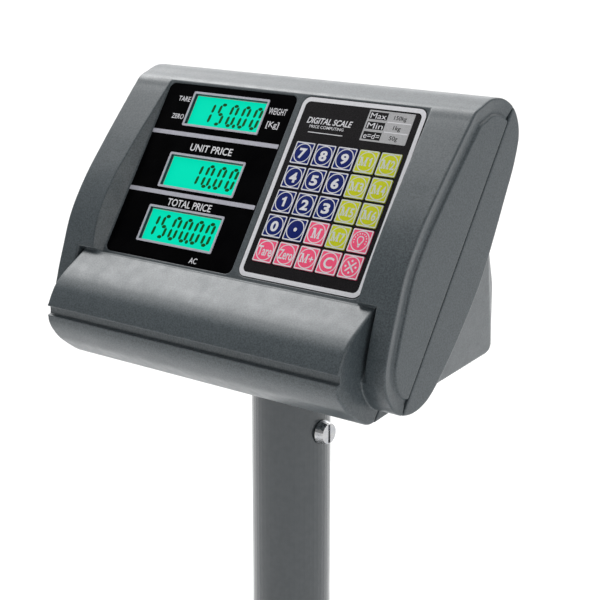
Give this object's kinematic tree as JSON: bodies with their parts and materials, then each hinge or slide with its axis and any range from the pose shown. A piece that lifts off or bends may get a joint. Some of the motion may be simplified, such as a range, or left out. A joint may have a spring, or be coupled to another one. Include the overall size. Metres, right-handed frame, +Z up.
{
  "type": "price computing platform scale",
  "caption": "Price-computing platform scale: a wedge-shaped head with displays and keypad swivels on a round column that folds down over a flat weighing deck.",
  "frame": {"origin": "middle of the footprint, on the floor under the levelling feet", "axes": "+X to the operator's right, +Y away from the operator, +Z up along the column"},
  "size_m": [0.3, 0.492, 0.7743],
  "materials": {
    "housing_plastic": "satin, fine spark texture",
    "black_gloss": "gloss",
    "lcd_glass": "backlit green",
    "keypad_film": "fine grained film",
    "key_navy": "printed film",
    "key_lime": "printed film",
    "key_pink": "printed film",
    "circuit_board": "solder mask",
    "black_plastic": "moulded",
    "battery_case": "moulded",
    "frame_paint": "powder coat",
    "plated_steel": "zinc plated",
    "column_paint": "gloss paint",
    "aluminium": "machined",
    "rubber": "matt",
    "level_glass": "clear",
    "stainless": "brushed"
  },
  "bodies": {
    "base": {"base_frame": "frame_paint", "hinge_bracket": "frame_paint", "hinge_pin": "plated_steel", "load_cell": "aluminium", "bubble_level": "level_glass"},
    "deck": {"deck_frame": "frame_paint", "deck_plate": "stainless"},
    "column": {"column_tube": "column_paint", "column_foot": "frame_paint"},
    "head": {"front_housing": "housing_plastic", "rear_housing": "housing_plastic", "display_lens": "black_gloss", "weight_lcd": "lcd_glass", "unit_price_lcd": "lcd_glass", "total_price_lcd": "lcd_glass", "keypad_overlay": "keypad_film", "keypad_board": "circuit_board", "main_board": "circuit_board", "buzzer": "black_plastic", "battery": "battery_case", "transformer": "frame_paint", "customer_lens": "black_gloss", "customer_lcd": "lcd_glass", "power_switch_body": "black_plastic", "mains_inlet": "black_plastic", "swivel_stub": "plated_steel"},
    "battery_cover": {"battery_cover": "housing_plastic"},
    "power_rocker": {"power_rocker": "black_plastic"},
    "fold_knob": {"fold_knob": "black_plastic"},
    "head_clamp_screw": {"head_clamp_screw": "plated_steel"},
    "foot_front_left": {"levelling_foot_front_left": "rubber"},
    "foot_front_right": {"levelling_foot_front_right": "rubber"},
    "foot_rear_left": {"levelling_foot_rear_left": "rubber"},
    "foot_rear_right": {"levelling_foot_rear_right": "rubber"},
    "key_7": {"key_7": "key_navy"},
    "key_8": {"key_8": "key_navy"},
    "key_9": {"key_9": "key_navy"},
    "key_m1": {"key_m1": "key_lime"},
    "key_m2": {"key_m2": "key_lime"},
    "key_4": {"key_4": "key_navy"},
    "key_5": {"key_5": "key_navy"},
    "key_6": {"key_6": "key_navy"},
    "key_m3": {"key_m3": "key_lime"},
    "key_m4": {"key_m4": "key_lime"},
    "key_1": {"key_1": "key_navy"},
    "key_2": {"key_2": "key_navy"},
    "key_3": {"key_3": "key_navy"},
    "key_m5": {"key_m5": "key_lime"},
    "key_m6": {"key_m6": "key_lime"},
    "key_0": {"key_0": "key_navy"},
    "key_point": {"key_point": "key_navy"},
    "key_m": {"key_m": "key_pink"},
    "key_m7": {"key_m7": "key_lime"},
    "key_lamp": {"key_lamp": "key_pink"},
    "key_tare": {"key_tare": "key_pink"},
    "key_zero": {"key_zero": "key_pink"},
    "key_m_plus": {"key_m_plus": "key_pink"},
    "key_clear": {"key_clear": "key_pink"},
    "key_multiply": {"key_multiply": "key_pink"}
  },
  "joints": [
    {"name": "column_fold", "type": "hinge", "parent": "base", "child": "column", "pos_m": [0, 0.194, 0.145], "axis": [1, 0, 0], "range_deg": [0, 90]},
    {"name": "head_swivel", "type": "hinge", "parent": "column", "child": "head", "pos_m": [0, 0.194, 0.615], "axis": [0, 0, -1], "range_deg": [-90, 90]},
    {"name": "deck_load", "type": "slide", "parent": "base", "child": "deck", "axis": [0, 0, -1], "range_m": [0, 0.0008], "stiffness_N_per_m": 20000, "springref_m": -0.004},
    {"name": "battery_cover_open", "type": "hinge", "parent": "head", "child": "battery_cover", "pos_m": [-0.07, 0.2357, 0.615], "axis": [1, 0, 0], "range_deg": [0, 90]},
    {"name": "power_rocker_tilt", "type": "hinge", "parent": "head", "child": "power_rocker", "pos_m": [0.072, 0.194, 0.615], "axis": [0, 1, 0], "range_deg": [-16, 0]},
    {"name": "fold_knob_turn", "type": "hinge", "parent": "base", "child": "fold_knob", "pos_m": [0.045, 0.194, 0.145], "axis": [1, 0, 0], "range_deg": [0, 360]},
    {"name": "head_clamp_turn", "type": "hinge", "parent": "column", "child": "head_clamp_screw", "pos_m": [0.03, 0.194, 0.555], "axis": [1, 0, 0], "range_deg": [0, 360]},
    {"name": "foot_front_left_raise", "type": "slide", "parent": "base", "child": "foot_front_left", "axis": [0, 0, -1], "range_m": [0, 0.008]},
    {"name": "foot_front_right_raise", "type": "slide", "parent": "base", "child": "foot_front_right", "axis": [0, 0, -1], "range_m": [0, 0.008]},
    {"name": "foot_rear_left_raise", "type": "slide", "parent": "base", "child": "foot_rear_left", "axis": [0, 0, -1], "range_m": [0, 0.008]},
    {"name": "foot_rear_right_raise", "type": "slide", "parent": "base", "child": "foot_rear_right", "axis": [0, 0, -1], "range_m": [0, 0.008]},
    {"name": "key_7_press", "type": "slide", "parent": "head", "child": "key_7", "axis": [0, 0.8406, -0.5417], "range_m": [0, 0.0005], "stiffness_N_per_m": 300, "springref_m": -0.001},
    {"name": "key_8_press", "type": "slide", "parent": "head", "child": "key_8", "axis": [0, 0.8406, -0.5417], "range_m": [0, 0.0005], "stiffness_N_per_m": 300, "springref_m": -0.001},
    {"name": "key_9_press", "type": "slide", "parent": "head", "child": "key_9", "axis": [0, 0.8406, -0.5417], "range_m": [0, 0.0005], "stiffness_N_per_m": 300, "springref_m": -0.001},
    {"name": "key_m1_press", "type": "slide", "parent": "head", "child": "key_m1", "axis": [0, 0.8406, -0.5417], "range_m": [0, 0.0005], "stiffness_N_per_m": 300, "springref_m": -0.001},
    {"name": "key_m2_press", "type": "slide", "parent": "head", "child": "key_m2", "axis": [0, 0.8406, -0.5417], "range_m": [0, 0.0005], "stiffness_N_per_m": 300, "springref_m": -0.001},
    {"name": "key_4_press", "type": "slide", "parent": "head", "child": "key_4", "axis": [0, 0.8406, -0.5417], "range_m": [0, 0.0005], "stiffness_N_per_m": 300, "springref_m": -0.001},
    {"name": "key_5_press", "type": "slide", "parent": "head", "child": "key_5", "axis": [0, 0.8406, -0.5417], "range_m": [0, 0.0005], "stiffness_N_per_m": 300, "springref_m": -0.001},
    {"name": "key_6_press", "type": "slide", "parent": "head", "child": "key_6", "axis": [0, 0.8406, -0.5417], "range_m": [0, 0.0005], "stiffness_N_per_m": 300, "springref_m": -0.001},
    {"name": "key_m3_press", "type": "slide", "parent": "head", "child": "key_m3", "axis": [0, 0.8406, -0.5417], "range_m": [0, 0.0005], "stiffness_N_per_m": 300, "springref_m": -0.001},
    {"name": "key_m4_press", "type": "slide", "parent": "head", "child": "key_m4", "axis": [0, 0.8406, -0.5417], "range_m": [0, 0.0005], "stiffness_N_per_m": 300, "springref_m": -0.001},
    {"name": "key_1_press", "type": "slide", "parent": "head", "child": "key_1", "axis": [0, 0.8406, -0.5417], "range_m": [0, 0.0005], "stiffness_N_per_m": 300, "springref_m": -0.001},
    {"name": "key_2_press", "type": "slide", "parent": "head", "child": "key_2", "axis": [0, 0.8406, -0.5417], "range_m": [0, 0.0005], "stiffness_N_per_m": 300, "springref_m": -0.001},
    {"name": "key_3_press", "type": "slide", "parent": "head", "child": "key_3", "axis": [0, 0.8406, -0.5417], "range_m": [0, 0.0005], "stiffness_N_per_m": 300, "springref_m": -0.001},
    {"name": "key_m5_press", "type": "slide", "parent": "head", "child": "key_m5", "axis": [0, 0.8406, -0.5417], "range_m": [0, 0.0005], "stiffness_N_per_m": 300, "springref_m": -0.001},
    {"name": "key_m6_press", "type": "slide", "parent": "head", "child": "key_m6", "axis": [0, 0.8406, -0.5417], "range_m": [0, 0.0005], "stiffness_N_per_m": 300, "springref_m": -0.001},
    {"name": "key_0_press", "type": "slide", "parent": "head", "child": "key_0", "axis": [0, 0.8406, -0.5417], "range_m": [0, 0.0005], "stiffness_N_per_m": 300, "springref_m": -0.001},
    {"name": "key_point_press", "type": "slide", "parent": "head", "child": "key_point", "axis": [0, 0.8406, -0.5417], "range_m": [0, 0.0005], "stiffness_N_per_m": 300, "springref_m": -0.001},
    {"name": "key_m_press", "type": "slide", "parent": "head", "child": "key_m", "axis": [0, 0.8406, -0.5417], "range_m": [0, 0.0005], "stiffness_N_per_m": 300, "springref_m": -0.001},
    {"name": "key_m7_press", "type": "slide", "parent": "head", "child": "key_m7", "axis": [0, 0.8406, -0.5417], "range_m": [0, 0.0005], "stiffness_N_per_m": 300, "springref_m": -0.001},
    {"name": "key_lamp_press", "type": "slide", "parent": "head", "child": "key_lamp", "axis": [0, 0.8406, -0.5417], "range_m": [0, 0.0005], "stiffness_N_per_m": 300, "springref_m": -0.001},
    {"name": "key_tare_press", "type": "slide", "parent": "head", "child": "key_tare", "axis": [0, 0.8406, -0.5417], "range_m": [0, 0.0005], "stiffness_N_per_m": 300, "springref_m": -0.001},
    {"name": "key_zero_press", "type": "slide", "parent": "head", "child": "key_zero", "axis": [0, 0.8406, -0.5417], "range_m": [0, 0.0005], "stiffness_N_per_m": 300, "springref_m": -0.001},
    {"name": "key_m_plus_press", "type": "slide", "parent": "head", "child": "key_m_plus", "axis": [0, 0.8406, -0.5417], "range_m": [0, 0.0005], "stiffness_N_per_m": 300, "springref_m": -0.001},
    {"name": "key_clear_press", "type": "slide", "parent": "head", "child": "key_clear", "axis": [0, 0.8406, -0.5417], "range_m": [0, 0.0005], "stiffness_N_per_m": 300, "springref_m": -0.001},
    {"name": "key_multiply_press", "type": "slide", "parent": "head", "child": "key_multiply", "axis": [0, 0.8406, -0.5417], "range_m": [0, 0.0005], "stiffness_N_per_m": 300, "springref_m": -0.001}
  ]
}
